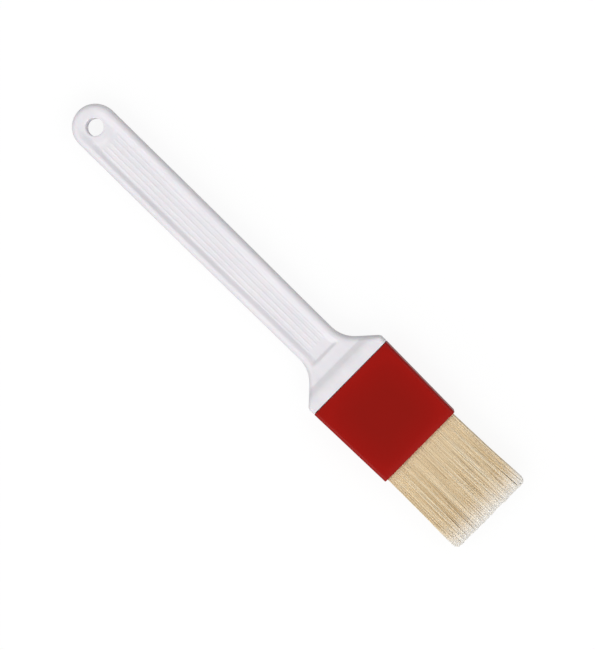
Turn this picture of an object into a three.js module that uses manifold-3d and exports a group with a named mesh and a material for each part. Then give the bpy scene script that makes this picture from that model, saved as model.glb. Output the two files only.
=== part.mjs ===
// Flat pastry brush: moulded handle, ferrule, and two banks of natural bristle set in resin.
// Millimetres. +X runs from the handle's end to the bristle tips, +Y across the brush, +Z out of its
// front face. The brush lies on its back: the origin is under the middle of its bounding box.
import * as THREE from 'three';
import { mergeVertices } from 'three/addons/utils/BufferGeometryUtils.js';
import Module from 'manifold-3d';

const wasm = await Module();
wasm.setup();

// ---- driving dimensions -------------------------------------------------------------------------
const overallLength = 250;
const bristleExposed = 43.5;   // bristle standing out of the ferrule
const gap = 0.3;               // clearance between neighbouring pieces
const overlap = 1;             // how far joined or cutting solids run past each other
const arcSteps = 8;            // straight pieces in a quarter turn or a fillet

// ferrule
const ferruleLength = 42.1;
const ferruleWidth = 44.2;     // at the handle end
const mouthWidth = 42.5;       // at the bristle end
const ferruleThickness = 14.6;
const ferruleWall = 1.3;
const ferruleCorner = 1.6;

// handle
const gripWidth = 20.2;        // at the hang hole
const neckWidth = 19.5;        // where the flare starts
const gripThickness = 9.6;
const gripEdge = 2.5;          // radius of the grip's long edges
const holeRadius = 3.85;
const flareAngle = THREE.MathUtils.degToRad(46.5);
const flareFillet = 14.5;      // hollow side of the flare
const shoulderRadius = 2;      // round side of the flare
const shoulderEdge = 1.2;      // radius of the shoulder's edges
const collarLength = 2.5;      // straight stretch behind the ferrule
const riseAngle = THREE.MathUtils.degToRad(40);
const riseFillet = 2;
const riseRound = 7;
const riseCollar = 3.8;        // flush stretch in front of the rise

// recess in each face of the grip
const recessCrestInset = 2.4;  // rim left outside the recess
const recessSlope = 2.3;       // width of its sloping wall
const recessDepth = 1.2;
const recessLength = 148.5;    // from the handle's end to its end wall
const landDepth = 0.4;         // level round the hang hole
const landRadius = 8.65;       // where the land steps down to the floor
const landStraight = 7;        // land beside the hole, from the hole's centre
const ribCount = 5;
const ribPitch = 2.25;
const ribWidth = 0.9;
const ribHeight = 0.3;
const ribStart = 9.6;          // radius about the hole where the ribs begin
const ribEnd = 144.2;

// inside the ferrule
const tongueLength = 13;
const beadDistance = 7;        // snap bead, from the shoulder
const beadWidth = 1.6;
const beadHeight = 0.5;
const beadLength = 26;         // across the brush
const resinLength = 7;
const spacerLength = 15;
const spacerWidth = 35;
const spacerThickness = 3.6;
const spacerSetback = 2;       // from the mouth, in

// bristles
const locksPerBank = 8;
const tipWidth = 41.5;
const tipThickness = 9;
const tipCorner = 2.4;
const tipBevel = 1.6;
const bendDistance = 4;        // the bend line stands this far out of the mouth
const bendClearance = THREE.MathUtils.degToRad(32);   // just over the largest bend

// ---- places worked out from the dimensions ------------------------------------------------------
const mouthX = overallLength - bristleExposed;
const ferruleX = mouthX - ferruleLength;
const collarEnd = ferruleX - gap;
const endRadius = gripWidth / 2;
const gripHalf = gripThickness / 2;
const crestHalf = endRadius - recessCrestInset;
const floorHalf = crestHalf - recessSlope;
const innerThickness = ferruleThickness - 2 * ferruleWall;
const innerWidth = ferruleWidth - 2 * ferruleWall;
const innerCorner = ferruleCorner - ferruleWall + gap;
const tongueEnd = collarEnd + tongueLength;
const resinX = tongueEnd + gap;
const rootX = resinX + resinLength + gap;
const bendX = mouthX + bendDistance;
const rootEnd = bendX - gap;
const spacerX = mouthX - spacerSetback - spacerLength;
const mouthTaper = (mouthWidth - 2 * ferruleWall) / innerWidth;

// ---- materials ----------------------------------------------------------------------------------
const whitePlastic = new THREE.MeshStandardMaterial({ color: 0xe9eaec, roughness: 0.4, metalness: 0 });
const redPlastic = new THREE.MeshStandardMaterial({ color: 0x92170f, roughness: 0.35, metalness: 0 });
const bristle = new THREE.MeshStandardMaterial({ color: 0xd3be9c, roughness: 0.7, metalness: 0 });
const rootBristle = new THREE.MeshStandardMaterial({ color: 0xc6ae88, roughness: 0.75, metalness: 0 });
const epoxy = new THREE.MeshStandardMaterial({ color: 0xb98c4a, roughness: 0.25, metalness: 0 });
const spacerPlastic = new THREE.MeshStandardMaterial({ color: 0x9a9c9e, roughness: 0.6, metalness: 0 });

// ---- solids -------------------------------------------------------------------------------------
function solidOf(geometry) {
  geometry.deleteAttribute('normal');
  geometry.deleteAttribute('uv');
  const merged = mergeVertices(geometry, 1e-4);
  const mesh = new wasm.Mesh({
    numProp: 3,
    vertProperties: new Float32Array(merged.attributes.position.array),
    triVerts: new Uint32Array(merged.index.array),
  });
  return new wasm.Manifold(mesh);
}

function namedMesh(name, solid, material) {
  const cut = solid.getMesh();
  const geometry = new THREE.BufferGeometry();
  geometry.setAttribute('position', new THREE.BufferAttribute(cut.vertProperties, 3));
  geometry.setIndex(new THREE.BufferAttribute(cut.triVerts, 1));
  geometry.computeVertexNormals();
  const mesh = new THREE.Mesh(geometry, material);
  mesh.name = name;
  return mesh;
}

// an outline given as its upper half, from the bristle end to the handle end, with its mirror image
function mirrored(half) {
  const offAxis = half.filter((point) => point.y > 0);
  const other = offAxis.map((point) => new THREE.Vector2(point.x, -point.y)).reverse();
  return [...half, ...other];
}

function arc(x, y, radius, from, to) {
  return new THREE.Path().absarc(x, y, radius, from, to, to < from).getPoints(arcSteps / 2);
}

// a solid of stacked outlines: outlineAt(inset) draws the outline smaller, each layer is [z, inset]
function stacked(outlineAt, layers) {
  const key = (x, y) => `${Math.fround(x)} ${Math.fround(y)}`;
  const base = outlineAt(0);
  const places = new Map(base.map((point, i) => [key(point.x, point.y), i]));
  const steps = layers.length - 1;
  const settings = { depth: steps, steps, bevelEnabled: false };
  const geometry = new THREE.ExtrudeGeometry(new THREE.Shape(base), settings);
  const outlines = layers.map((layer) => outlineAt(layer[1]));
  const position = geometry.attributes.position;
  for (let i = 0; i < position.count; i += 1) {
    const layer = Math.round(position.getZ(i));
    const point = outlines[layer][places.get(key(position.getX(i), position.getY(i)))];
    position.setXYZ(i, point.x, point.y, layers[layer][0]);
  }
  return solidOf(geometry);
}

// a plate centred on z = 0 whose edges are rounded to the radius edge
function roundedPlate(outlineAt, thickness, edge) {
  const count = arcSteps / 2;
  const lower = Array.from({ length: count + 1 }, (unused, i) => {
    const turn = Math.PI / 2 * i / count;
    return [edge * (1 - Math.cos(turn)) - thickness / 2, edge * (1 - Math.sin(turn))];
  });
  const upper = lower.map(([z, inset]) => [-z, inset]).reverse();
  return stacked(outlineAt, [...lower, ...upper]);
}

function plate(outline, thickness) {
  const settings = { depth: thickness, bevelEnabled: false };
  const geometry = new THREE.ExtrudeGeometry(new THREE.Shape(outline), settings);
  return solidOf(geometry.translate(0, 0, -thickness / 2));
}

// a side profile, x along and y up, made into a bar that runs across the brush
function crossbar(profile, width) {
  const settings = { depth: width, bevelEnabled: false };
  const geometry = new THREE.ExtrudeGeometry(new THREE.Shape(profile), settings);
  return solidOf(geometry.rotateX(Math.PI / 2).translate(0, width / 2, 0));
}

function box(x0, x1, y0, y1, z0, z1) {
  const geometry = new THREE.BoxGeometry(x1 - x0, y1 - y0, z1 - z0);
  return solidOf(geometry.translate((x0 + x1) / 2, (y0 + y1) / 2, (z0 + z1) / 2));
}

// an S-shaped edge that comes down from outer to inner: a round, a slope at angle, a hollow
function flare(roundX, outer, inner, angle, round, hollow) {
  const slopeTop = outer - round * (1 - Math.cos(angle));
  const slopeFoot = inner + hollow * (1 - Math.cos(angle));
  const slopeRun = (slopeTop - slopeFoot) / Math.tan(angle);
  const hollowX = roundX - (round + hollow) * Math.sin(angle) - slopeRun;
  return [
    ...arc(roundX, outer - round, round, Math.PI / 2, Math.PI / 2 + angle),
    ...arc(hollowX, inner + hollow, hollow, angle - Math.PI / 2, -Math.PI / 2),
  ];
}

// ---- handle -------------------------------------------------------------------------------------
function handleOutline(endX, inset) {
  const outer = ferruleWidth / 2 - inset;
  const inner = neckWidth / 2 - inset;
  const round = Math.max(shoulderRadius - inset, gap);
  const collarX = ferruleX - collarLength;
  return mirrored([
    new THREE.Vector2(endX, outer),
    ...flare(collarX, outer, inner, flareAngle, round, flareFillet + inset),
    ...arc(endRadius, 0, endRadius - inset, Math.PI / 2, 0.75 * Math.PI),
    ...arc(endRadius, 0, endRadius - inset, 0.75 * Math.PI, Math.PI).slice(1, -1),
    new THREE.Vector2(inset, 0),
  ]);
}

// side view of the shoulder: it thickens from the grip to the ferrule
function shoulderProfile() {
  const riseX = ferruleX - riseCollar;
  const rise = flare(riseX, ferruleThickness / 2, gripHalf - gap, riseAngle, riseRound, riseFillet);
  return mirrored([
    new THREE.Vector2(collarEnd, ferruleThickness / 2),
    ...rise,
    new THREE.Vector2(recessLength + recessSlope + overlap, gripHalf - gap),
  ]);
}

function shoulder() {
  const outlineAt = (inset) => handleOutline(ferruleX + shoulderEdge, inset);
  const flared = roundedPlate(outlineAt, ferruleThickness, shoulderEdge);
  return flared.intersect(crossbar(shoulderProfile(), 2 * ferruleWidth));
}

// rounded section pulled along X, narrowing with the ferrule
function taperedBar(x0, x1, width, thickness, corner) {
  const w = width / 2;
  const t = thickness / 2;
  const section = new THREE.Shape();
  section.absarc(w - corner, t - corner, corner, 0, Math.PI / 2, false);
  section.absarc(corner - w, t - corner, corner, Math.PI / 2, Math.PI, false);
  section.absarc(corner - w, corner - t, corner, Math.PI, 1.5 * Math.PI, false);
  section.absarc(w - corner, corner - t, corner, 1.5 * Math.PI, 2 * Math.PI, false);
  const geometry = new THREE.ExtrudeGeometry(section, {
    depth: x1 - x0,
    bevelEnabled: false,
    curveSegments: arcSteps / 2,
  });
  geometry.rotateX(Math.PI / 2).rotateZ(Math.PI / 2).translate(x0, 0, 0);
  const position = geometry.attributes.position;
  for (let i = 0; i < position.count; i += 1) {
    const along = (position.getX(i) - ferruleX) / ferruleLength;
    const narrowing = (ferruleWidth - mouthWidth) * along;
    position.setY(i, position.getY(i) * (1 - narrowing / ferruleWidth));
  }
  return solidOf(geometry);
}

// a bar that fills the inside of the ferrule, with the clearance all round
function inFerrule(x0, x1) {
  return taperedBar(x0, x1, innerWidth - 2 * gap, innerThickness - 2 * gap, innerCorner);
}

// the ridge across both faces of the tongue, or the groove that it snaps into when grow is over 0
function snapBead(grow) {
  const x = collarEnd + beadDistance;
  const y = beadLength / 2 + grow;
  const z = innerThickness / 2 - gap + beadHeight + grow;
  return box(x - grow, x + beadWidth + grow, -y, y, -z, z);
}

function tongue() {
  return inFerrule(collarEnd - overlap, tongueEnd).add(snapBead(0));
}

// a pocket in the front face: its wall slopes in from the rim down to the floor at depth
function pocket(outlineAt, depth) {
  const slope = recessSlope * depth / recessDepth;
  return stacked(outlineAt, [[gripHalf - depth, slope], [gripHalf, 0], [gripHalf + overlap, 0]]);
}

// the ribbed part, which starts on an arc round the hang hole
function recessOutline(inset) {
  const half = crestHalf - inset;
  const turn = Math.asin(half / landRadius);
  const end = recessLength + recessSlope - inset;
  return [
    ...arc(endRadius - recessSlope + inset, 0, landRadius, turn, -turn),
    new THREE.Vector2(end, -half),
    new THREE.Vector2(end, half),
  ];
}

// the shallower land round the hang hole
function landOutline(inset) {
  const half = crestHalf - inset;
  return [
    ...arc(endRadius, 0, half, Math.PI / 2, Math.PI),
    ...arc(endRadius, 0, half, Math.PI, 1.5 * Math.PI).slice(1),
    new THREE.Vector2(endRadius + landStraight, -half),
    new THREE.Vector2(endRadius + landStraight, half),
  ];
}

function recess() {
  return pocket(recessOutline, recessDepth).add(pocket(landOutline, landDepth));
}

function rib(y) {
  const start = endRadius + Math.sqrt(ribStart ** 2 - y ** 2);
  const floorZ = gripHalf - recessDepth;
  return box(start, ribEnd, y - ribWidth / 2, y + ribWidth / 2, floorZ - ribHeight, floorZ + ribHeight);
}

function ribs() {
  const middle = (ribCount - 1) / 2;
  const list = Array.from({ length: ribCount }, (unused, i) => rib((i - middle) * ribPitch));
  return list.reduce((joined, one) => joined.add(one));
}

function hangHole() {
  const geometry = new THREE.CylinderGeometry(holeRadius, holeRadius, 2 * gripThickness, 4 * arcSteps);
  return solidOf(geometry.rotateX(Math.PI / 2).translate(endRadius, 0, 0));
}

function handle() {
  const outlineAt = (inset) => handleOutline(ferruleX - collarLength / 2, inset);
  const grip = roundedPlate(outlineAt, gripThickness, gripEdge);
  const turnedOver = [180, 0, 0];
  return grip
    .add(shoulder())
    .add(tongue())
    .subtract(recess())
    .subtract(recess().rotate(turnedOver))
    .add(ribs())
    .add(ribs().rotate(turnedOver))
    .subtract(hangHole());
}

// ---- ferrule and what it holds ------------------------------------------------------------------
function ferrule() {
  const outside = taperedBar(ferruleX, mouthX, ferruleWidth, ferruleThickness, ferruleCorner);
  const from = ferruleX - overlap;
  const to = mouthX + overlap;
  const inside = taperedBar(from, to, innerWidth, innerThickness, innerCorner);
  return outside.subtract(inside).subtract(snapBead(gap));
}

function resinSet() {
  return inFerrule(resinX, resinX + resinLength);
}

function spacerStrip(grow) {
  const half = spacerWidth / 2 + grow;
  const thick = spacerThickness / 2 + grow;
  return box(spacerX - grow, spacerX + spacerLength + grow, -half, half, -thick, thick);
}

// bank is 1 for the front bank and -1 for the back one
function bankHalf(bank) {
  const near = bank * gap / 2;
  const far = bank * ferruleThickness;
  const wide = ferruleWidth;
  return box(0, 2 * overallLength, -wide, wide, Math.min(near, far), Math.max(near, far));
}

function bristleRoot(bank) {
  return inFerrule(rootX, rootEnd).intersect(bankHalf(bank)).subtract(spacerStrip(gap));
}

// ---- bristles -----------------------------------------------------------------------------------
// side view of both banks: a wedge at the bend line, so that they can bend either way, and thin tips
function tuftProfile() {
  const rootHalf = innerThickness / 2 - gap;
  const wedgeX = bendX + rootHalf * Math.tan(bendClearance);
  return mirrored([
    new THREE.Vector2(overallLength, tipThickness / 2 - tipBevel),
    new THREE.Vector2(overallLength - 2 * tipBevel, tipThickness / 2),
    new THREE.Vector2(wedgeX, rootHalf),
    new THREE.Vector2(bendX, 0),
  ]);
}

// front view of both banks: they spread a little towards the tips, whose outer corners are round
function tuftOutline() {
  const rootHalf = innerWidth * mouthTaper / 2 - gap;
  return mirrored([
    ...arc(overallLength - tipCorner, tipWidth / 2 - tipCorner, tipCorner, 0, Math.PI / 2),
    new THREE.Vector2(mouthX, rootHalf),
  ]);
}

// one lock's share of the width, as a strip that fans out with the tuft
function lockStrip(index) {
  const rootPitch = (innerWidth * mouthTaper - 2 * gap) / locksPerBank;
  const tipPitch = tipWidth / locksPerBank;
  const low = index - locksPerBank / 2;
  return plate([
    new THREE.Vector2(mouthX, low * rootPitch + gap / 2),
    new THREE.Vector2(overallLength + overlap, low * tipPitch + gap / 2),
    new THREE.Vector2(overallLength + overlap, (low + 1) * tipPitch - gap / 2),
    new THREE.Vector2(mouthX, (low + 1) * rootPitch - gap / 2),
  ], 2 * ferruleThickness);
}

function bristleLock(bank, index) {
  return plate(tuftOutline(), ferruleThickness)
    .intersect(crossbar(tuftProfile(), 2 * ferruleWidth))
    .intersect(bankHalf(bank))
    .intersect(lockStrip(index));
}

// ---- assembly -----------------------------------------------------------------------------------
const brush = new THREE.Group();
brush.position.set(-overallLength / 2, 0, ferruleThickness / 2);
brush.add(namedMesh('handle', handle(), whitePlastic));
brush.add(namedMesh('ferrule', ferrule(), redPlastic));
brush.add(namedMesh('resin_set', resinSet(), epoxy));
brush.add(namedMesh('spacer_strip', spacerStrip(0), spacerPlastic));

const tuft = new THREE.Group();
for (const [side, bank] of [['front', 1], ['back', -1]]) {
  brush.add(namedMesh(`bristle_root_${side}`, bristleRoot(bank), rootBristle));
  for (let index = 0; index < locksPerBank; index += 1) {
    tuft.add(namedMesh(`bristle_lock_${side}_${index + 1}`, bristleLock(bank, index), bristle));
  }
}
brush.add(tuft);

const part = new THREE.Group();
part.add(brush);
export default part;
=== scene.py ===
import math
import random

import bmesh
import bpy
from mathutils import Matrix, Vector


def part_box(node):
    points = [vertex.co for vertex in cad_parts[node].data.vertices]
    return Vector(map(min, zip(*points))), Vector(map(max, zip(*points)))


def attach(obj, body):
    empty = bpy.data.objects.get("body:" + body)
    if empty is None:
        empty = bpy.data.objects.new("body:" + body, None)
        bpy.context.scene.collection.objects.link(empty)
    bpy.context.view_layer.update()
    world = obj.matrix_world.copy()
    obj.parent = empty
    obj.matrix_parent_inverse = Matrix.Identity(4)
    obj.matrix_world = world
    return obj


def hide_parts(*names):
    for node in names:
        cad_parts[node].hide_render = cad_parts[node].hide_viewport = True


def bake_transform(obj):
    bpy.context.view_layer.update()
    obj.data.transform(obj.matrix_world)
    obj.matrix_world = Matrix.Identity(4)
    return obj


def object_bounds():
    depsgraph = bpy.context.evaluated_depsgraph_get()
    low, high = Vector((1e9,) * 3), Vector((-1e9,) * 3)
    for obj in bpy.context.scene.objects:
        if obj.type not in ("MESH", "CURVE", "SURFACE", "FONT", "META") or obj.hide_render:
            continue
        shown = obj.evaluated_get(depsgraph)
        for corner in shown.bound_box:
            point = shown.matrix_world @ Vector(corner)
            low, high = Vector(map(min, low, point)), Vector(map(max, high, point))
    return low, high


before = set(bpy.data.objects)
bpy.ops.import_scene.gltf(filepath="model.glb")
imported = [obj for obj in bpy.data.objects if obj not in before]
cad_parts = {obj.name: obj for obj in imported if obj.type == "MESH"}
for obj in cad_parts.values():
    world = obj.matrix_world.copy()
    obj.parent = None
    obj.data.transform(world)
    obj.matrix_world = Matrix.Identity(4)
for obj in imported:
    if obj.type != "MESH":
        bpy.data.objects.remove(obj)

cadLow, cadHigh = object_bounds()
mm = 0.001

# places that the frame gives, in metres
ferruleLow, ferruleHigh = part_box("ferrule")
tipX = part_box("bristle_lock_front_1")[1].x
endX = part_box("handle")[0].x
ferruleX = ferruleLow.x
mouthX = ferruleHigh.x
midZ = (ferruleLow.z + ferruleHigh.z) / 2
print("frame loaded:", len(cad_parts), "nodes")


def fromHex(colour):
    # sRGB hex to the linear values that a shader socket wants
    parts = [int(colour[i:i + 2], 16) / 255 for i in (1, 3, 5)]
    linear = [c / 12.92 if c <= 0.04045 else ((c + 0.055) / 1.055) ** 2.4 for c in parts]
    return (*linear, 1)


def addNode(tree, kind, settings=None, inputs=None):
    node = tree.nodes.new(kind)
    for name, value in (settings or {}).items():
        setattr(node, name, value)
    for name, value in (inputs or {}).items():
        if isinstance(value, bpy.types.NodeSocket):
            tree.links.new(value, node.inputs[name])
        else:
            node.inputs[name].default_value = value
    return node


def newMaterial(name):
    material = bpy.data.materials.new(name)
    material.use_nodes = True
    tree = material.node_tree
    tree.nodes.clear()
    shader = addNode(tree, "ShaderNodeBsdfPrincipled")
    addNode(tree, "ShaderNodeOutputMaterial", inputs={"Surface": shader.outputs["BSDF"]})
    return material, tree, shader


def setRamp(node, stops):
    # stops are (position, colour) pairs, from low to high
    elements = node.color_ramp.elements
    while len(elements) < len(stops):
        elements.new(0.5)
    for element, (position, colour) in zip(elements, stops):
        element.position = position
        element.color = colour


def smooth(value):
    # an even ramp from 0 to 1, level at both ends
    value = min(max(value, 0.0), 1.0)
    return value * value * (3 - 2 * value)


def finishMesh(bm, name, material, smoothAngle=40):
    # bm is in metres already, so the object stays at the origin
    mesh = bpy.data.meshes.new(name)
    bm.to_mesh(mesh)
    bm.free()
    mesh.materials.append(material)
    mesh.shade_smooth()
    mesh.set_sharp_from_angle(angle=math.radians(smoothAngle))
    piece = bpy.data.objects.new(name, mesh)
    bpy.context.scene.collection.objects.link(piece)
    return piece


whitePlastic = {
    "colour": "#e9e6ea",
    "shade": "#e2e0e5",
    "roughness": (0.37, 0.48),
    "ior": 1.49,
    "flow": 30 * mm,          # length of a flow mark in the moulding
    "flowAcross": 6 * mm,
    "grain": 0.5 * mm,        # the mould's fine texture, drawn coarser than it is so that it shows
    "grainDepth": 0.006 * mm,
    "grainStrength": 0.6,
    "milk": 0.12,             # share of the light that enters the plastic
    "milkDepth": 1.5 * mm,
}


def makePolypropyleneMoulded(spec):
    # injection-moulded polypropylene: slightly milky, satin, with faint flow marks and a fine mould grain
    material, tree, shader = newMaterial("polypropyleneMoulded")
    place = addNode(tree, "ShaderNodeTexCoord").outputs["Object"]
    stretched = addNode(tree, "ShaderNodeMapping", inputs={
        "Vector": place,
        "Scale": (1 / spec["flow"], 1 / spec["flowAcross"], 1 / spec["flowAcross"]),
    })
    flow = addNode(tree, "ShaderNodeTexNoise", inputs={
        "Vector": stretched.outputs["Vector"],
        "Scale": 1.0,
        "Detail": 3.0,
    })
    tint = addNode(tree, "ShaderNodeValToRGB", inputs={"Fac": flow.outputs["Fac"]})
    setRamp(tint, [(0.3, fromHex(spec["shade"])), (0.7, fromHex(spec["colour"]))])
    grain = addNode(tree, "ShaderNodeTexNoise", inputs={
        "Vector": place,
        "Scale": 1 / spec["grain"],
        "Detail": 2.0,
    })
    gloss = addNode(tree, "ShaderNodeMapRange", inputs={
        "Value": flow.outputs["Fac"],
        "To Min": spec["roughness"][0],
        "To Max": spec["roughness"][1],
    })
    bump = addNode(tree, "ShaderNodeBump", inputs={
        "Height": grain.outputs["Fac"],
        "Strength": spec["grainStrength"],
        "Distance": spec["grainDepth"],
    })
    tree.links.new(tint.outputs["Color"], shader.inputs["Base Color"])
    tree.links.new(gloss.outputs["Result"], shader.inputs["Roughness"])
    tree.links.new(bump.outputs["Normal"], shader.inputs["Normal"])
    shader.inputs["IOR"].default_value = spec["ior"]
    shader.inputs["Subsurface Weight"].default_value = spec["milk"]
    shader.inputs["Subsurface Scale"].default_value = spec["milkDepth"]
    return material


redPlastic = {
    "paintedShadeMiddle": "#8d1007",        # painted shade: the middle of each broad face is painted darker
    "colour": "#940f07",
    "light": "#9a1008",       # painted light: lighter towards the edges of the broad faces
    "stops": (0.3, 0.75, 1.0),
    "roughness": (0.26, 0.36),
    "gloss": 0.16,            # share of the plastic's full reflection that the satin skin keeps
    "ior": 1.5,
    "flow": 22 * mm,
    "flowShare": 0.25,        # how far the flow marks shift the colour
    "grain": 0.4 * mm,
    "grainDepth": 0.006 * mm,
    "grainStrength": 0.5,
    "halfLength": 21 * mm,
    "halfWidth": 22 * mm,
}


def makePolystyreneRed(spec):
    # injection-moulded polystyrene in a deep red, satin; the colour is painted darker in the middle of
    # the broad faces and lighter towards their edges, as painted shade and painted light
    material, tree, shader = newMaterial("polystyreneRed")
    place = addNode(tree, "ShaderNodeTexCoord").outputs["Object"]
    centred = addNode(tree, "ShaderNodeMapping", {"vector_type": "TEXTURE"}, {
        "Vector": place,
        "Location": ((ferruleX + mouthX) / 2, 0, midZ),
        "Scale": (spec["halfLength"], spec["halfWidth"], 1),
    })
    # painted shade and light: distance from the middle of the broad faces sets the colour from darker to
    # lighter
    flattened = addNode(tree, "ShaderNodeVectorMath", {"operation": "MULTIPLY"}, {
        0: centred.outputs["Vector"],
        1: (1, 1, 0),
    })
    squared = addNode(tree, "ShaderNodeVectorMath", {"operation": "MULTIPLY"}, {
        0: flattened.outputs["Vector"],
        1: flattened.outputs["Vector"],
    })
    reach = addNode(tree, "ShaderNodeVectorMath", {"operation": "LENGTH"}, {
        0: squared.outputs["Vector"],
    })
    flow = addNode(tree, "ShaderNodeTexNoise", inputs={
        "Vector": place,
        "Scale": 1 / spec["flow"],
        "Detail": 2.0,
    })
    # flow marks shift the painted shade-to-light gradient a little
    flowAndPaintedLight = addNode(tree, "ShaderNodeMath", {"operation": "MULTIPLY_ADD"}, {
        0: flow.outputs["Fac"],
        1: spec["flowShare"],
        2: reach.outputs["Value"],
    })
    tint = addNode(tree, "ShaderNodeValToRGB", inputs={"Fac": flowAndPaintedLight.outputs["Value"]})
    tones = [fromHex(spec[tone]) for tone in ("paintedShadeMiddle", "colour", "light")]
    setRamp(tint, list(zip(spec["stops"], tones)))
    grain = addNode(tree, "ShaderNodeTexNoise", inputs={
        "Vector": place,
        "Scale": 1 / spec["grain"],
        "Detail": 2.0,
    })
    gloss = addNode(tree, "ShaderNodeMapRange", inputs={
        "Value": grain.outputs["Fac"],
        "To Min": spec["roughness"][0],
        "To Max": spec["roughness"][1],
    })
    bump = addNode(tree, "ShaderNodeBump", inputs={
        "Height": grain.outputs["Fac"],
        "Strength": spec["grainStrength"],
        "Distance": spec["grainDepth"],
    })
    tree.links.new(tint.outputs["Color"], shader.inputs["Base Color"])
    tree.links.new(gloss.outputs["Result"], shader.inputs["Roughness"])
    tree.links.new(bump.outputs["Normal"], shader.inputs["Normal"])
    shader.inputs["IOR"].default_value = spec["ior"]
    shader.inputs["Specular IOR Level"].default_value = spec["gloss"]
    return material


bristleHair = {
    "dark": "#d5b98d",
    "body": "#ebd3ad",
    "light": "#f3e4c8",
    # the tip's near-white is partly the split ends' own paler colour and partly painted backlight through
    # the thin ends
    "flaggedAndBacklitTip": "#fffaf1",
    "roughness": 0.55,
    "soft": 0.25,             # share of the light that enters the bristle
    "softDepth": 0.6 * mm,
    "softSpread": (1.0, 0.85, 0.65),
    "ior": 1.55,
    "tipStart": 0.74,         # share of the length where the paler end begins, split ends whitened further by painted light
    "tipFull": 1.0,
    "tipFade": 1.8,
    "apartStart": 0.05,       # share of the length where the bristles begin to stand apart
    "apartFull": 0.55,
    "evenRoot": 0.25,         # how much of the difference in tone is left at the root
}


def makeHogBristle(spec):
    # boiled and dried hog bristle: cream, waxy along the shaft, split and paler at the tip, with painted
    # light whitening the tip further
    material, tree, shader = newMaterial("hogBristle")
    along = addNode(tree, "ShaderNodeAttribute", {"attribute_name": "along"})
    shade = addNode(tree, "ShaderNodeAttribute", {"attribute_name": "shade"})
    # the tone differs from bristle to bristle, and shows more where they stand apart
    apart = addNode(tree, "ShaderNodeMapRange", {"interpolation_type": "SMOOTHSTEP"}, {
        "Value": along.outputs["Fac"],
        "From Min": spec["apartStart"],
        "From Max": spec["apartFull"],
        "To Min": spec["evenRoot"],
        "To Max": 1.0,
    })
    even = addNode(tree, "ShaderNodeMix", inputs={
        "Factor": apart.outputs["Result"],
        "A": 0.5,
        "B": shade.outputs["Fac"],
    })
    shaft = addNode(tree, "ShaderNodeValToRGB", inputs={"Fac": even.outputs["Result"]})
    setRamp(shaft, [
        (0.0, fromHex(spec["dark"])),
        (0.5, fromHex(spec["body"])),
        (1.0, fromHex(spec["light"])),
    ])
    # the paler tip: the split ends' own colour and painted light
    towardsTip = addNode(tree, "ShaderNodeMapRange", inputs={
        "Value": along.outputs["Fac"],
        "From Min": spec["tipStart"],
        "From Max": spec["tipFull"],
    })
    flaggedAndBacklit = addNode(tree, "ShaderNodeMath", {"operation": "POWER"}, {
        0: towardsTip.outputs["Result"],
        1: spec["tipFade"],
    })
    colour = addNode(tree, "ShaderNodeMix", {"data_type": "RGBA"}, {
        "Factor": flaggedAndBacklit.outputs["Value"],
        6: shaft.outputs["Color"],
        7: fromHex(spec["flaggedAndBacklitTip"]),
    })
    tree.links.new(colour.outputs[2], shader.inputs["Base Color"])
    shader.inputs["Roughness"].default_value = spec["roughness"]
    shader.inputs["IOR"].default_value = spec["ior"]
    shader.inputs["Subsurface Weight"].default_value = spec["soft"]
    shader.inputs["Subsurface Radius"].default_value = spec["softSpread"]
    shader.inputs["Subsurface Scale"].default_value = spec["softDepth"]
    return material


epoxyResin = {
    "dark": "#9c6a2c",
    "light": "#c59a56",
    "cloud": 3 * mm,          # size of a cloud of fine bubbles
    "roughness": 0.18,
    "ior": 1.55,
}


def makeEpoxyCast(spec):
    # cast epoxy: amber, glossy where it set against the mould, with the odd cloud of fine bubbles
    material, tree, shader = newMaterial("epoxyCast")
    place = addNode(tree, "ShaderNodeTexCoord").outputs["Object"]
    cloud = addNode(tree, "ShaderNodeTexNoise", inputs={
        "Vector": place,
        "Scale": 1 / spec["cloud"],
        "Detail": 4.0,
    })
    tint = addNode(tree, "ShaderNodeValToRGB", inputs={"Fac": cloud.outputs["Fac"]})
    setRamp(tint, [(0.3, fromHex(spec["dark"])), (0.7, fromHex(spec["light"]))])
    tree.links.new(tint.outputs["Color"], shader.inputs["Base Color"])
    shader.inputs["Roughness"].default_value = spec["roughness"]
    shader.inputs["IOR"].default_value = spec["ior"]
    return material


greyStrip = {
    "dark": "#8b8d8f",
    "light": "#a4a6a8",
    "lineSpacing": 0.3 * mm,
    "lineLength": 6 * mm,
    "lineDepth": 0.03 * mm,
    "lineStrength": 0.5,
    "roughness": 0.55,
    "ior": 1.51,
}


def makePolyethyleneStrip(spec):
    # extruded polyethylene strip, grey: dull and waxy, with fine draw lines along its length
    material, tree, shader = newMaterial("polyethyleneStrip")
    place = addNode(tree, "ShaderNodeTexCoord").outputs["Object"]
    stretched = addNode(tree, "ShaderNodeMapping", inputs={
        "Vector": place,
        "Scale": (1 / spec["lineSpacing"], 1 / spec["lineLength"], 1 / spec["lineSpacing"]),
    })
    lines = addNode(tree, "ShaderNodeTexNoise", inputs={
        "Vector": stretched.outputs["Vector"],
        "Scale": 1.0,
        "Detail": 3.0,
    })
    tint = addNode(tree, "ShaderNodeValToRGB", inputs={"Fac": lines.outputs["Fac"]})
    setRamp(tint, [(0.3, fromHex(spec["dark"])), (0.7, fromHex(spec["light"]))])
    bump = addNode(tree, "ShaderNodeBump", inputs={
        "Height": lines.outputs["Fac"],
        "Strength": spec["lineStrength"],
        "Distance": spec["lineDepth"],
    })
    tree.links.new(tint.outputs["Color"], shader.inputs["Base Color"])
    tree.links.new(bump.outputs["Normal"], shader.inputs["Normal"])
    shader.inputs["Roughness"].default_value = spec["roughness"]
    shader.inputs["IOR"].default_value = spec["ior"]
    return material


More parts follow.
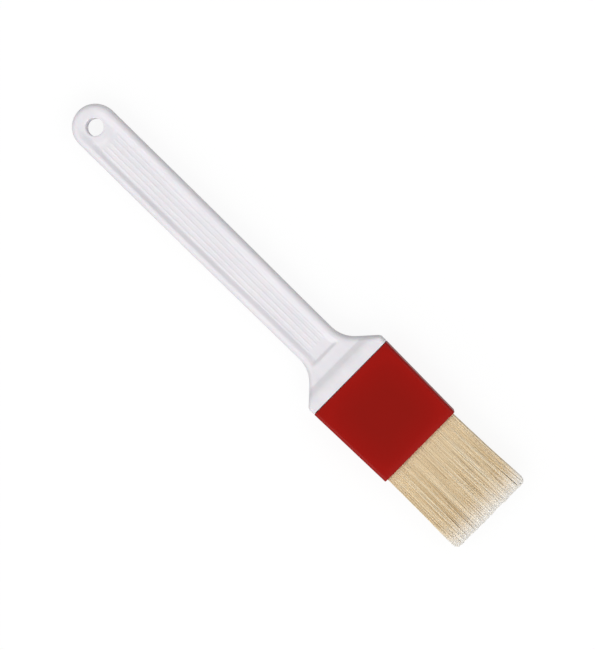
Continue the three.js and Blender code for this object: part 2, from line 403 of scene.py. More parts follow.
handleMaterial = makePolypropyleneMoulded(whitePlastic)
ferruleMaterial = makePolystyreneRed(redPlastic)
bristleMaterial = makeHogBristle(bristleHair)
epoxyMaterial = makeEpoxyCast(epoxyResin)
stripMaterial = makePolyethyleneStrip(greyStrip)
print("materials made")


# millimetres, measured from the handle's end; the shapes are those of the moulding's tool
handleShape = {
    "endRadius": 10.1,
    "neckHalf": 9.75,         # half the width at the neck
    "taperStart": 60,
    "taperLength": 80,
    "gripHalf": 4.8,          # half the thickness of the grip
    "edge": 2.6,              # round of the grip's long edges
    "collarEdge": 1.6,        # round of the collar's edges, the same as the ferrule's
    "edgeChange": 10,         # length over which one becomes the other
    "holeRadius": 3.85,
    "holeLip": 0.5,           # round at the hole's rim
    "flareAngle": 46.5,
    "flareRound": 2.0,
    "flareHollow": 14.5,
    "collar": 2.5,            # straight stretch behind the ferrule
    "gap": 0.3,               # joint line between the collar and the ferrule
    "riseAngle": 35,
    "riseRound": 5.5,
    "riseHollow": 1.2,
    "riseCollar": 3.65,
    "rim": 2.4,               # rim outside the recess
    "slope": 2.3,             # width of the recess's sloping wall
    "slopeAtHole": 3.1,
    "slopeHoleEnd": 14,
    "slopeHoleFade": 8,
    "slopeAtNeck": 2.9,
    "depth": 1.2,
    "recessEnd": 150.1,
    "endWall": 1.9,
    "landDepth": 0.9,         # the level round the hole
    "landRadius": 8.65,
    "landStart": 3.0,         # the recess is flush with the rim behind the hole
    "landFall": 9.0,
    "ribs": 5,
    "ribPitch": 2.25,
    "ribWidth": 1.15,
    "ribHeight": 0.18,
    "ribStart": 9.6,
    "ribEnd": 144.2,
    "ribFade": 1.2,
    "partingRidge": 0.05,     # flash where the two halves of the mould met
    "gridStart": 19.4,        # where the plain grid takes over from the rings round the hole
    "columns": 76,
    "endStep": 0.45,          # spacing of the rows of faces, from the end to the flare
    "gripStep": 0.9,
    "recessStep": 0.28,
    "recessBefore": 2,        # the closer rows start this far before the ribs' end
    "recessAfter": 0.6,
    "flareStep": 0.3,
    "turns": 56,
    "edgeSteps": 9,
    "lipSteps": 4,
    "ringSteps": 22,
    "weld": 0.005,            # points closer than this are one
}


def rise(x, roundX, outer, inner, degrees, roundRadius, hollow):
    # an S-shaped edge: inner, then a hollow, a slope, a round, and outer from roundX on
    angle = math.radians(degrees)
    slopeTop = outer - roundRadius * (1 - math.cos(angle))
    slopeFoot = inner + hollow * (1 - math.cos(angle))
    slopeStart = roundX - roundRadius * math.sin(angle) - (slopeTop - slopeFoot) / math.tan(angle)
    hollowX = slopeStart - hollow * math.sin(angle)
    if x >= roundX:
        return outer
    if x >= roundX - roundRadius * math.sin(angle):
        return outer - roundRadius + math.sqrt(roundRadius ** 2 - (roundX - x) ** 2)
    if x >= slopeStart:
        return slopeFoot + (x - slopeStart) * math.tan(angle)
    if x > hollowX:
        return inner + hollow - math.sqrt(hollow ** 2 - (x - hollowX) ** 2)
    return inner


def halfWidth(x):
    s = handleShape
    collarX = (ferruleX - endX) / mm - s["collar"]
    outer = ferruleHigh.y / mm
    taper = (s["endRadius"] - s["neckHalf"]) * (1 - smooth((x - s["taperStart"]) / s["taperLength"]))
    return taper + rise(x, collarX, outer, s["neckHalf"], s["flareAngle"], s["flareRound"],
                        s["flareHollow"])


def halfThickness(x):
    s = handleShape
    collarX = (ferruleX - endX) / mm - s["riseCollar"]
    outer = (ferruleHigh.z - midZ) / mm
    return rise(x, collarX, outer, s["gripHalf"], s["riseAngle"], s["riseRound"], s["riseHollow"])


def edgeRound(x):
    s = handleShape
    return s["edge"] + (s["collarEdge"] - s["edge"]) * smooth((x - s["recessEnd"]) / s["edgeChange"])


def outlineLean(x):
    # cosine of the angle between the outline and the handle's axis
    step = 0.05
    return 1 / math.hypot(1, (halfWidth(x + step) - halfWidth(x - step)) / (2 * step))


def inset(x, y):
    # how far a point is inside the outline
    s = handleShape
    if x < s["endRadius"]:
        return s["endRadius"] - math.hypot(x - s["endRadius"], y)
    return (halfWidth(x) - abs(y)) * outlineLean(x)


def wallWidth(x):
    # the recess's long walls are gentler beside the hole and towards the neck
    s = handleShape
    width = s["slope"]
    width += (s["slopeAtHole"] - s["slope"]) * (1 - smooth((x - s["slopeHoleEnd"]) / s["slopeHoleFade"]))
    width += (s["slopeAtNeck"] - s["slope"]) * smooth((x - s["taperStart"]) / s["taperLength"])
    return width


def recessAt(x, y):
    # depth of the recess below the rim
    s = handleShape
    wall = smooth((inset(x, y) - s["rim"]) / wallWidth(x))
    wall *= smooth((x - s["landStart"]) / s["landFall"])
    end = smooth((s["recessEnd"] - x) / s["endWall"])
    fromHole = math.hypot(x - s["endRadius"], y)
    step = smooth((fromHole - s["landRadius"] + s["slope"]) / s["slope"])
    return wall * end * (s["landDepth"] + (s["depth"] - s["landDepth"]) * step)


def ribAt(x, y):
    # height of the nearest rib above the recess's floor
    s = handleShape
    number = round(y / s["ribPitch"])
    nearest = number * s["ribPitch"]
    if abs(number) > s["ribs"] // 2:
        return 0.0
    across = 1 - smooth(abs(y - nearest) / (s["ribWidth"] / 2))
    start = s["endRadius"] + math.sqrt(s["ribStart"] ** 2 - nearest ** 2)
    along = smooth((x - start) / s["ribFade"]) * smooth((s["ribEnd"] - x) / s["ribFade"])
    return s["ribHeight"] * across * along


def faceHeight(x, y):
    # height of the front face over the middle of the handle
    s = handleShape
    edge = edgeRound(x)
    fromEdge = min(inset(x, y), edge)
    height = halfThickness(x) - edge + math.sqrt(max(edge ** 2 - (edge - fromEdge) ** 2, 0))
    lip = s["holeLip"]
    fromLip = math.hypot(x - s["endRadius"], y) - s["holeRadius"]
    if fromLip < lip:
        height -= lip - math.sqrt(max(lip ** 2 - (lip - fromLip) ** 2, 0))
    return height - recessAt(x, y) + ribAt(x, y)


def addGrid(bm, across, along, place):
    # a flat grid whose points are then moved to place(i, j), in millimetres from the handle's end
    grid = bmesh.ops.create_grid(bm, x_segments=across, y_segments=along, size=1)
    for vert in grid["verts"]:
        i = round((vert.co.x + 1) / 2 * across)
        j = round((vert.co.y + 1) / 2 * along)
        x, y, z = place(i, j)
        vert.co = Vector((endX + x * mm, y * mm, midZ + z * mm))


def spread(start, stop, step):
    # evenly spaced places from start to stop, about a step apart
    count = max(1, round((stop - start) / step))
    return [start + (stop - start) * i / count for i in range(count + 1)]


def buildHandle():
    s = handleShape
    collarEnd = (ferruleX - endX) / mm - s["gap"]
    fineStart = s["ribEnd"] - s["recessBefore"]
    fineEnd = s["recessEnd"] + s["recessAfter"]
    columns = s["columns"]
    turns = s["turns"]
    edgeSteps = s["edgeSteps"]
    lipSteps = s["lipSteps"]
    ringSteps = s["ringSteps"]
    bm = bmesh.new()
    stations = spread(s["gridStart"], fineStart, s["gripStep"])
    stations += spread(fineStart, fineEnd, s["recessStep"])[1:]
    stations += spread(fineEnd, collarEnd, s["flareStep"])[1:]

    # front face between the rims
    def faceAt(i, j):
        x = stations[j]
        inner = halfWidth(x) - edgeRound(x) / outlineLean(x)
        y = inner * (2 * i / columns - 1)
        return x, y, faceHeight(x, y)

    addGrid(bm, columns, len(stations) - 1, faceAt)

    # the outline, from the collar on one side round the end to the collar on the other
    sideX = spread(s["endRadius"], s["gridStart"], s["endStep"])
    outline = [(x, halfWidth(x), None) for x in reversed(sideX[1:] + stations[1:])]
    for k in range(turns + 1):
        turn = math.pi / 2 + math.pi * k / turns
        outline.append((s["endRadius"], 0, turn))
    outline += [(x, -halfWidth(x), None) for x in sideX[1:] + stations[1:]]

    def rimPoint(x, y, turn, depth):
        # a point of the outline, moved inwards by depth
        if turn is not None:
            radius = s["endRadius"] - depth
            return x + radius * math.cos(turn), radius * math.sin(turn)
        return x, math.copysign(abs(y) - depth / outlineLean(x), y)

    def rimAt(i, j):
        x, y, turn = outline[j]
        edge = edgeRound(x)
        if i <= edgeSteps:
            angle = math.pi / 2 * i / edgeSteps
            px, py = rimPoint(x, y, turn, edge * (1 - math.sin(angle)))
            if i == 0:
                return px, py, faceHeight(px, py)
            return px, py, halfThickness(x) - edge * (1 - math.cos(angle))
        # the parting ridge stands on the middle of the edge, and is four times as broad as high
        if i == edgeSteps + 1:
            px, py = rimPoint(x, y, turn, 0)
            return px, py, s["partingRidge"] * 2
        px, py = rimPoint(x, y, turn, -s["partingRidge"])
        return px, py, 0

    addGrid(bm, edgeSteps + 2, len(outline) - 1, rimAt)

    # rings round the hang hole, out to the rim's inner edge and to where the grid begins
    innerEnd = s["endRadius"] - s["edge"]
    border = []
    for k in range(turns + 1):
        turn = math.pi / 2 + math.pi * k / turns
        border.append((s["endRadius"] + innerEnd * math.cos(turn), innerEnd * math.sin(turn)))
    for x in sideX[1:]:
        border.append((x, -(halfWidth(x) - s["edge"] / outlineLean(x))))
    corner = border[-1][1]
    for i in range(1, columns + 1):
        border.append((s["gridStart"], corner * (1 - 2 * i / columns)))
    for x in reversed(sideX[:-1]):
        border.append((x, halfWidth(x) - s["edge"] / outlineLean(x)))
    lastLip = 1 - math.cos(math.pi / 2 * (lipSteps - 1) / lipSteps)

    def ringAt(i, j):
        bx, by = border[j]
        reach = math.hypot(bx - s["endRadius"], by)
        cx = (bx - s["endRadius"]) / reach
        cy = by / reach
        if i == 0:
            return s["endRadius"] + s["holeRadius"] * cx, s["holeRadius"] * cy, 0
        if i <= lipSteps:
            angle = math.pi / 2 * (i - 1) / lipSteps
            radius = s["holeRadius"] + s["holeLip"] * (1 - math.cos(angle))
        else:
            share = (i - lipSteps) / ringSteps
            lip = s["holeRadius"] + s["holeLip"] * lastLip
            radius = lip + (reach - lip) * share
        x = s["endRadius"] + radius * cx
        y = radius * cy
        return x, y, faceHeight(x, y)

    addGrid(bm, lipSteps + ringSteps, len(border) - 1, ringAt)

    # the back is the front's mirror image
    bmesh.ops.remove_doubles(bm, verts=bm.verts[:], dist=s["weld"] * mm)
    everything = bm.verts[:] + bm.edges[:] + bm.faces[:]
    flipped = bmesh.ops.duplicate(bm, geom=everything)["geom"]
    middle = Matrix.Translation((0, 0, midZ))
    mirror = middle @ Matrix.Diagonal((1, 1, -1, 1)) @ middle.inverted()
    twins = [item for item in flipped if isinstance(item, bmesh.types.BMVert)]
    bmesh.ops.transform(bm, matrix=mirror, verts=twins)
    bmesh.ops.remove_doubles(bm, verts=bm.verts[:], dist=s["weld"] * mm)
    openEdges = [edge for edge in bm.edges if edge.is_boundary]
    bmesh.ops.holes_fill(bm, edges=openEdges, sides=0)
    bmesh.ops.recalc_face_normals(bm, faces=bm.faces[:])
    return bm


def addBlock(bm, low, high, axis, radius, segments):
    # a block from corner to corner, with its edges along one axis rounded
    block = bmesh.ops.create_cube(bm, size=1)["verts"]
    centre = (Vector(low) + Vector(high)) / 2
    span = Vector(high) - Vector(low)
    bmesh.ops.scale(bm, vec=span, verts=block)
    bmesh.ops.translate(bm, vec=centre, verts=block)
    edges = []
    for edge in {edge for vert in block for edge in vert.link_edges}:
        run = (edge.verts[1].co - edge.verts[0].co).normalized()
        if abs(run[axis]) > 0.99:
            edges.append(edge)
    bmesh.ops.bevel(bm, geom=edges, offset=radius, segments=segments, profile=0.5, affect="EDGES",
                    material=-1)


tongueShape = {
    "length": 13 * mm,
    "clearance": 0.35 * mm,   # from the ferrule's inner wall
    "sideClearance": 0.85 * mm,
    "corner": 0.8 * mm,
    "cornerSteps": 5,
    "root": 1.5 * mm,         # how far it starts inside the collar
    "beads": 7 * mm,          # from the ferrule's rear edge to the snap beads
    "beadWidth": 1.6 * mm,
    "beadHeight": 0.4 * mm,
    "beadFoot": 0.4 * mm,     # how far a bead starts inside the tongue
    "beadHalf": 13 * mm,
    "beadRound": 0.35 * mm,
    "beadSteps": 3,
}

ferruleShape = {
    "wall": 1.3 * mm,
    "corner": 1.6 * mm,
    "cornerSteps": 8,
    "mouthHalf": 21.25 * mm,  # half the width at the bristles' end
    "lip": 0.3 * mm,          # round at both ends
    "lipSteps": 3,
    "cutsAcross": 16,
    "cutsAlong": 10,
    "smoothAngle": 35,
}


def addTongue(bm):
    # the handle's tongue, which the ferrule snaps over, with a bead across each broad face
    t = tongueShape
    f = ferruleShape
    insideY = ferruleHigh.y - f["wall"] - t["sideClearance"]
    insideZ = (ferruleHigh.z - ferruleLow.z) / 2 - f["wall"] - t["clearance"]
    addBlock(bm, (ferruleX - t["root"], -insideY, midZ - insideZ),
             (ferruleX + t["length"], insideY, midZ + insideZ), 0, t["corner"], t["cornerSteps"])
    beadX = ferruleX + t["beads"]
    top = insideZ + t["beadHeight"]
    foot = insideZ - t["beadFoot"]
    for low, high in ((-top, -foot), (foot, top)):
        addBlock(bm, (beadX - t["beadWidth"] / 2, -t["beadHalf"], midZ + low),
                 (beadX + t["beadWidth"] / 2, t["beadHalf"], midZ + high), 1, t["beadRound"],
                 t["beadSteps"])


handleMesh = buildHandle()
openCount = sum(edge.is_boundary for edge in handleMesh.edges)
print("handle:", len(handleMesh.faces), "faces,", openCount, "open edges")
addTongue(handleMesh)
handlePiece = finishMesh(handleMesh, "handle_moulding", handleMaterial)
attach(handlePiece, "brush_body")
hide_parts("handle")


def buildFerrule():
    # a sleeve that is open at both ends and slightly narrower at the mouth
    f = ferruleShape
    bm = bmesh.new()
    bmesh.ops.create_cube(bm, size=1)
    bmesh.ops.scale(bm, vec=ferruleHigh - ferruleLow, verts=bm.verts[:])
    bmesh.ops.translate(bm, vec=(ferruleLow + ferruleHigh) / 2, verts=bm.verts[:])
    for vert in bm.verts:
        if vert.co.x > (ferruleX + mouthX) / 2:
            vert.co.y = math.copysign(f["mouthHalf"], vert.co.y)
    longEdges = [edge for edge in bm.edges
                 if abs((edge.verts[1].co - edge.verts[0].co).normalized().x) > 0.9]
    bmesh.ops.bevel(bm, geom=longEdges, offset=f["corner"], segments=f["cornerSteps"], profile=0.5,
                    affect="EDGES", material=-1)
    ends = [face for face in bm.faces if abs(face.normal.x) > 0.9]
    bmesh.ops.delete(bm, geom=ends, context="FACES_ONLY")
    # cuts across the flat faces keep the corners' soft shading near the corners
    for cut in range(1, f["cutsAcross"]):
        y = ferruleHigh.y * (2 * cut / f["cutsAcross"] - 1)
        bmesh.ops.bisect_plane(bm, geom=bm.verts[:] + bm.edges[:] + bm.faces[:],
                               plane_co=(0, y, 0), plane_no=(0, 1, 0), dist=1e-7)
    for cut in range(1, f["cutsAlong"]):
        x = ferruleX + (mouthX - ferruleX) * cut / f["cutsAlong"]
        bmesh.ops.bisect_plane(bm, geom=bm.verts[:] + bm.edges[:] + bm.faces[:],
                               plane_co=(x, 0, 0), plane_no=(1, 0, 0), dist=1e-7)
    bmesh.ops.recalc_face_normals(bm, faces=bm.faces[:])
    bmesh.ops.solidify(bm, geom=bm.faces[:], thickness=f["wall"])
    bmesh.ops.recalc_face_normals(bm, faces=bm.faces[:])
    rims = []
    for edge in bm.edges:
        here, there = (vert.co.x for vert in edge.verts)
        atEnd = abs(here - ferruleX) < 1e-5 or abs(here - mouthX) < 1e-5
        if atEnd and abs(here - there) < 1e-6 and edge.calc_face_angle(0) > 1:
            rims.append(edge)
    bmesh.ops.bevel(bm, geom=rims, offset=f["lip"], segments=f["lipSteps"], profile=0.5, affect="EDGES",
                    material=-1)
    return bm


ferruleMesh = buildFerrule()
print("ferrule:", len(ferruleMesh.faces), "faces")
ferrulePiece = finishMesh(ferruleMesh, "ferrule_moulding", ferruleMaterial,
                          ferruleShape["smoothAngle"])
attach(ferrulePiece, "brush_body")
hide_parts("ferrule")


# millimetres; one bank is the front or the back half of the tuft
bristleShape = {
    "locks": 8,               # along each bank
    "perLock": 420,
    "radius": 0.16,
    "tipRadius": 0.19,        # the split ends stand out a little
    "sides": 4,
    "sections": 9,
    "start": -4.0,            # inside the ferrule's mouth
    "rootHalfWidth": 19.7,
    "rootHalfDepth": 5.75,
    "tipHalfWidth": 20.75,
    "tipHalfDepth": 4.5,
    "tipCorner": 2.4,
    "tipDome": 1.3,           # the middle of the tuft is this much longer than its faces
    "domePower": 3,
    "tipShort": 0.4,          # how much shorter than the brush the longest bristles are
    "tipLeast": 0.05,
    "scatter": 0.3,           # of the space between two bristles, at the root
    "spread": 0.2,            # further scatter at the tips
    "fan": 1.5,               # a bristle leaves straight and leans more towards its tip
    "lengthSpread": 0.5,
    "clumpSize": 1.4,
    "clumpScatter": 0.3,      # of the space between two clumps
    "clumpPull": 0.2,
    "pullRange": (0.6, 1.2),
    "clumpDrift": 0.22,
    "driftDepth": 0.7,        # the drift through the tuft is less than the drift across it
    "clumpLength": 0.5,       # share of the length's spread that a whole clump has
    "clumpTone": 0.5,
    "ownTone": 0.35,
    "sideLean": 0.4,          # the whole tuft leans this far to one side at its tips
    "waver": 0.16,
    "waves": (0.6, 1.6),      # bends in one bristle
    "strays": 0.02,
    "strayY": 2.0,
    "strayZ": 1.0,
    "crossing": 0.4,          # how far a tip may reach into the other bank
    "middleGap": 0.02,
    "bendStart": -1.0,
    "bendEnd": 13.0,
}


def layHair(verts, path, radiusAt):
    # verts: one straight blank, which runs from x = 0 to 1 round its own axis
    for vert in verts:
        share = min(max(vert.co.x, 0.0), 1.0)
        side = Vector((0, vert.co.y, vert.co.z))
        vert.co = path(share) + side.normalized() * radiusAt(share)


def makeRack(sides, sections, count):
    # straight bristle blanks of radius 1, side by side in y, with their cuts spread along them
    bm = bmesh.new()
    apart = 10
    turned = Matrix.Translation((0.5, 0, 0)) @ Matrix.Rotation(math.pi / 2, 4, "Y")
    bmesh.ops.create_cone(bm, cap_ends=True, cap_tris=False, segments=sides, radius1=1, radius2=1,
                          depth=1, matrix=turned)
    for cut in range(1, sections):
        bmesh.ops.bisect_plane(bm, geom=bm.verts[:] + bm.edges[:] + bm.faces[:], dist=1e-6,
                               plane_co=(cut / sections, 0, 0), plane_no=(1, 0, 0))
    made = 1
    while made < count:
        twin = bmesh.ops.duplicate(bm, geom=bm.verts[:] + bm.edges[:] + bm.faces[:])["geom"]
        fresh = [item for item in twin if isinstance(item, bmesh.types.BMVert)]
        bmesh.ops.translate(bm, vec=(0, made * apart, 0), verts=fresh)
        made *= 2
    spare = [vert for vert in bm.verts if round(vert.co.y / apart) >= count]
    bmesh.ops.delete(bm, geom=spare, context="VERTS")
    alongLayer = bm.verts.layers.float.new("along")
    shadeLayer = bm.verts.layers.float.new("shade")
    blanks = [[] for _ in range(count)]
    for vert in bm.verts:
        place = round(vert.co.y / apart)
        vert.co.y -= place * apart
        vert[alongLayer] = vert.co.x
        blanks[place].append(vert)
    return bm, blanks, shadeLayer


def jitter(rng, amount):
    return rng.uniform(-amount, amount)


def makeClumps(rng, lowU, highU):
    # neighbouring bristles cling together; u runs across the tuft and v from its middle to its face
    s = bristleShape
    tall = max(1, round(s["tipHalfDepth"] / s["clumpSize"]))
    wide = max(1, round(s["tipHalfWidth"] * (highU - lowU) / s["clumpSize"]))
    clumps = []
    for a in range(wide):
        for b in range(tall):
            clumps.append({
                "u": lowU + (a + 0.5 + jitter(rng, s["clumpScatter"])) / wide * (highU - lowU),
                "v": (b + 0.5 + jitter(rng, s["clumpScatter"])) / tall,
                "driftY": jitter(rng, s["clumpDrift"]),
                "driftZ": jitter(rng, s["clumpDrift"] * s["driftDepth"]),
                "length": jitter(rng, s["lengthSpread"] * s["clumpLength"]),
                "shade": rng.random(),
            })
    return clumps


def buildLock(rng, index, front):
    s = bristleShape
    bm, blanks, shadeLayer = makeRack(s["sides"], s["sections"], s["perLock"])
    hairStart = (mouthX / mm) + s["start"]
    fullEnd = tipX / mm
    lowU = 2 * index / s["locks"] - 1
    highU = 2 * (index + 1) / s["locks"] - 1
    clumps = makeClumps(rng, lowU, highU)
    columns = round(math.sqrt(s["perLock"] * (highU - lowU) * s["rootHalfWidth"] / s["rootHalfDepth"]))
    rows = math.ceil(s["perLock"] / columns)
    for k, verts in enumerate(blanks):
        stagger = 0.5 * (k // columns % 2)
        column = k % columns + 0.25 + stagger + jitter(rng, s["scatter"])
        u = lowU + column / columns * (highU - lowU)
        v = (k // columns + 0.5 + jitter(rng, s["scatter"])) / rows
        clump = min(clumps, key=lambda c: ((c["u"] - u) * s["tipHalfWidth"]) ** 2
                    + ((c["v"] - v) * s["tipHalfDepth"]) ** 2)
        stray = rng.random() < s["strays"]
        # where the bristle leaves and where it ends, across and through the brush
        rootY = u * s["rootHalfWidth"]
        rootZ = v * s["rootHalfDepth"]
        ownY = u * s["tipHalfWidth"]
        ownZ = v * s["tipHalfDepth"]
        pull = s["clumpPull"] * rng.uniform(*s["pullRange"])
        tipY = ownY + (clump["u"] * s["tipHalfWidth"] - ownY) * pull + clump["driftY"]
        tipZ = ownZ + (clump["v"] * s["tipHalfDepth"] - ownZ) * pull + clump["driftZ"]
        tipY += jitter(rng, s["spread"])
        tipZ += jitter(rng, s["spread"])
        if stray:
            tipY += jitter(rng, s["strayY"])
            tipZ += jitter(rng, s["strayZ"])
        tipY = min(max(tipY, -s["tipHalfWidth"]), s["tipHalfWidth"]) + s["sideLean"]
        tipZ = min(max(tipZ, -s["crossing"]), s["tipHalfDepth"])
        hairEnd = fullEnd - s["radius"] + clump["length"] - abs(jitter(rng, s["lengthSpread"]))
        hairEnd -= s["tipShort"]
        # rounded corners and a domed top on the tuft's outline
        overY = max(abs(tipY - s["sideLean"]) - (s["tipHalfWidth"] - s["tipCorner"]), 0) / s["tipCorner"]
        hairEnd -= s["tipCorner"] * (1 - math.sqrt(max(1 - overY ** 2, 0)))
        hairEnd -= s["tipDome"] * (max(tipZ, 0) / s["tipHalfDepth"]) ** s["domePower"]
        hairEnd = min(hairEnd, fullEnd - s["tipLeast"])
        waveY = jitter(rng, s["waver"])
        waveZ = jitter(rng, s["waver"])
        phase = rng.uniform(0, 2 * math.pi)
        waves = rng.uniform(*s["waves"])
        straight = -s["start"] / (hairEnd - hairStart)
        tone = 0.5 + (clump["shade"] - 0.5) * s["clumpTone"] + jitter(rng, s["ownTone"])
        shade = min(max(tone, 0), 1)

        def path(share):
            free = max(share - straight, 0) / (1 - straight)
            lean = free ** s["fan"]
            wave = math.sin(phase + waves * 2 * math.pi * free) * free
            x = hairStart + (hairEnd - hairStart) * share
            y = rootY + (tipY - rootY) * lean + waveY * wave
            z = rootZ + (tipZ - rootZ) * lean + waveZ * wave
            z = max(z, s["middleGap"])
            return Vector((x * mm, y * mm, midZ + (z if front else -z) * mm))

        def radiusAt(share):
            return (s["radius"] + (s["tipRadius"] - s["radius"]) * share ** 4) * mm

        for vert in verts:
            vert[shadeLayer] = shade
        layHair(verts, path, radiusAt)
    return bm


rng = random.Random(41)
total = 0
for bank in ("front", "back"):
    for number in range(1, bristleShape["locks"] + 1):
        node = f"bristle_lock_{bank}_{number}"
        low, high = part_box(node)
        place = (low.y + high.y) / 2 / (2 * bristleShape["tipHalfWidth"] * mm) + 0.5
        index = round(place * bristleShape["locks"] - 0.5)
        lockMesh = buildLock(rng, index, bank == "front")
        total += len(lockMesh.faces)
        lockPiece = finishMesh(lockMesh, f"bristles_{bank}_{number}", bristleMaterial, 180)
        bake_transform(lockPiece)
        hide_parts(node)
print("bristles:", total, "faces")


# the bristles' held ends, inside the ferrule
rootShape = {
    "perBank": 900,
    "radius": 0.2,
    "sides": 4,
    "sections": 2,
    "end": -1.0,              # inside the ferrule's mouth
    "innerZ": 2.2,            # the spacer strip lies between the two banks
    "lean": 0.2,
}


def buildRoots(rng, node, front):
    s = rootShape
    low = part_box(node)[0]
    bm, blanks, shadeLayer = makeRack(s["sides"], s["sections"], s["perBank"])
    hairStart = low.x
    hairEnd = mouthX + s["end"] * mm
    halfY = bristleShape["rootHalfWidth"] * mm
    topZ = bristleShape["rootHalfDepth"] * mm
    for verts in blanks:
        y = rng.uniform(-halfY, halfY)
        z = rng.uniform(s["innerZ"] * mm, topZ)
        lean = jitter(rng, s["lean"]) * mm
        shade = rng.random()

        def path(share):
            x = hairStart + (hairEnd - hairStart) * share
            return Vector((x, y + lean * share, midZ + (z if front else -z)))

        for vert in verts:
            vert[shadeLayer] = shade
        layHair(verts, path, lambda share: s["radius"] * mm)
    return bm


for bank in ("front", "back"):
    node = f"bristle_root_{bank}"
    rootMesh = buildRoots(rng, node, bank == "front")
    rootPiece = finishMesh(rootMesh, f"bristle_roots_{bank}", bristleMaterial, 180)
    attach(rootPiece, "brush_body")
    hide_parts(node)
print("bristle roots made")


# these stay as the frame has them, with their own finish
for node, material in (("resin_set", epoxyMaterial), ("spacer_strip", stripMaterial)):
    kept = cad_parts[node]
    kept.data.materials.clear()
    kept.data.materials.append(material)


# floor, light and camera
stageSetup = {
    "floorDark": "#5f5f5f",
    "floorLight": "#636363",
    "floorGlow": 0.88,        # a lit white table, so that shadows stay faint
    "floorBounce": 0.42,      # what the table throws back at the brush, less than the camera sees
    "floorSize": 6.0,
    "floorRoughness": 0.9,
    "floorSpecular": 0.1,
    "mottleScale": 3.0,
    "world": 1.68,
    "lean": 0.62,             # how much stronger the light is from one side
    "leanFrom": (0.6, -0.8, 0),
    "patchInner": 20,         # the dark patch overhead, in degrees from straight up
    "patchOuter": 30,
    "patchShare": 0.1,
    "horizon": 55,            # the light fades from this height down to the horizon, in degrees
    "backdrop": 1.0,
    "target": (7.2 * mm, 0.1 * mm),  # from the brush's centre
    "distance": 1.0,
    "tilt": 4.0,              # away from straight down
    "turn": 44.55,            # how far the brush points below level in the view
    "frameHeight": 281.1 * mm,
    "sensor": 36,             # millimetres
    "clip": 0.01,
}


def makeFloor():
    # a lit acrylic table, which glows more for the camera than it does for the brush
    bm = bmesh.new()
    bmesh.ops.create_grid(bm, x_segments=1, y_segments=1, size=stageSetup["floorSize"] / 2)
    mesh = bpy.data.meshes.new("studioFloor")
    bm.to_mesh(mesh)
    bm.free()
    material, tree, shader = newMaterial("litAcrylicTable")
    place = addNode(tree, "ShaderNodeTexCoord").outputs["Object"]
    mottle = addNode(tree, "ShaderNodeTexNoise", inputs={
        "Vector": place,
        "Scale": stageSetup["mottleScale"],
    })
    tint = addNode(tree, "ShaderNodeValToRGB", inputs={"Fac": mottle.outputs["Fac"]})
    setRamp(tint, [(0.0, fromHex(stageSetup["floorDark"])), (1.0, fromHex(stageSetup["floorLight"]))])
    tree.links.new(tint.outputs["Color"], shader.inputs["Base Color"])
    shader.inputs["Roughness"].default_value = stageSetup["floorRoughness"]
    shader.inputs["Specular IOR Level"].default_value = stageSetup["floorSpecular"]
    shader.inputs["Emission Color"].default_value = (1, 1, 1, 1)
    seen = addNode(tree, "ShaderNodeLightPath").outputs["Is Camera Ray"]
    glow = addNode(tree, "ShaderNodeMix", inputs={
        "Factor": seen,
        "A": stageSetup["floorBounce"],
        "B": stageSetup["floorGlow"],
    })
    tree.links.new(glow.outputs["Result"], shader.inputs["Emission Strength"])
    mesh.materials.append(material)
    floor = bpy.data.objects.new("studioFloor", mesh)
    bpy.context.scene.collection.objects.link(floor)


def makeCamera():
    s = stageSetup
    data = bpy.data.cameras.new("camera")
    camera = bpy.data.objects.new("camera", data)
    centre = (cadLow + cadHigh) / 2
    target = Vector((centre.x + s["target"][0], centre.y + s["target"][1], midZ))
    tilt = math.radians(s["tilt"])
    back = Vector((0, math.sin(tilt), math.cos(tilt)))
    turn = math.radians(s["turn"])
    right = Vector((math.cos(turn), math.sin(turn), 0))
    right = (right - back * right.dot(back)).normalized()
    up = back.cross(right)
    spin = Matrix((right, up, back)).transposed()
    camera.matrix_world = Matrix.Translation(target + back * s["distance"]) @ spin.to_4x4()
    data.sensor_width = s["sensor"]
    data.lens = data.sensor_width * s["distance"] / s["frameHeight"]
    data.clip_start = s["clip"]
    bpy.context.scene.collection.objects.link(camera)
    bpy.context.scene.camera = camera


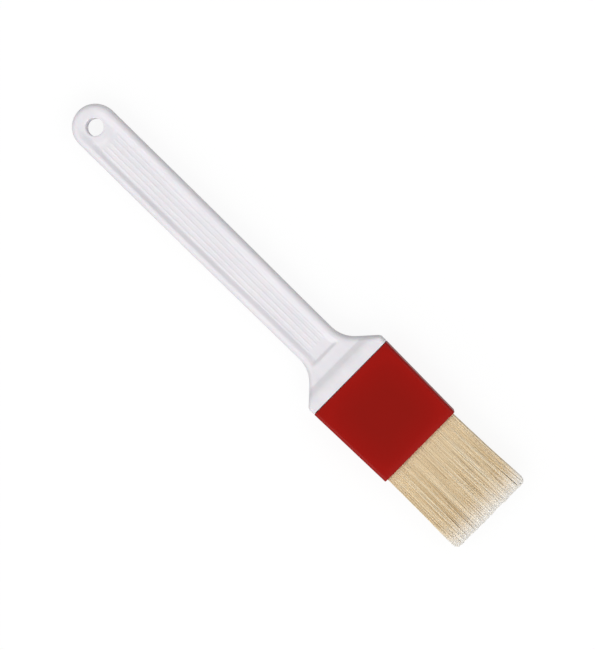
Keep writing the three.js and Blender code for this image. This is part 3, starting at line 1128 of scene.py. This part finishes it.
def makeWorld():
    # soft light all round, stronger from one side, and a dark patch overhead where the camera stands
    s = stageSetup
    world = bpy.data.worlds.new("studioWorld")
    world.use_nodes = True
    tree = world.node_tree
    tree.nodes.clear()
    facing = addNode(tree, "ShaderNodeTexCoord").outputs["Generated"]
    parts = addNode(tree, "ShaderNodeSeparateXYZ", inputs={"Vector": facing})
    overhead = addNode(tree, "ShaderNodeMapRange", {"interpolation_type": "SMOOTHSTEP"}, {
        "Value": parts.outputs["Z"],
        "From Min": math.cos(math.radians(s["patchOuter"])),
        "From Max": math.cos(math.radians(s["patchInner"])),
        "To Min": 1.0,
        "To Max": s["patchShare"],
    })
    towardsLight = addNode(tree, "ShaderNodeVectorMath", {"operation": "DOT_PRODUCT"}, {
        0: facing,
        1: s["leanFrom"],
    })
    sideways = addNode(tree, "ShaderNodeMapRange", inputs={
        "Value": towardsLight.outputs["Value"],
        "From Min": -1.0,
        "From Max": 1.0,
        "To Min": 1 - s["lean"],
        "To Max": 1 + s["lean"],
    })
    low = addNode(tree, "ShaderNodeMapRange", inputs={
        "Value": parts.outputs["Z"],
        "From Max": math.sin(math.radians(s["horizon"])),
        "To Min": 0.0,
        "To Max": s["world"],
    })
    shaped = addNode(tree, "ShaderNodeMath", {"operation": "MULTIPLY"}, {
        0: overhead.outputs["Result"],
        1: sideways.outputs["Result"],
    })
    light = addNode(tree, "ShaderNodeMath", {"operation": "MULTIPLY"}, {
        0: shaped.outputs["Value"],
        1: low.outputs["Result"],
    })
    seen = addNode(tree, "ShaderNodeLightPath").outputs["Is Camera Ray"]
    strength = addNode(tree, "ShaderNodeMix", inputs={
        "Factor": seen,
        "A": light.outputs["Value"],
        "B": s["backdrop"],
    })
    sky = addNode(tree, "ShaderNodeBackground", inputs={
        "Color": (1, 1, 1, 1),
        "Strength": strength.outputs["Result"],
    })
    addNode(tree, "ShaderNodeOutputWorld", inputs={"Surface": sky.outputs["Background"]})
    bpy.context.scene.world = world


makeFloor()
makeWorld()
makeCamera()
bpy.context.scene.view_settings.view_transform = "Standard"
print("stage ready")
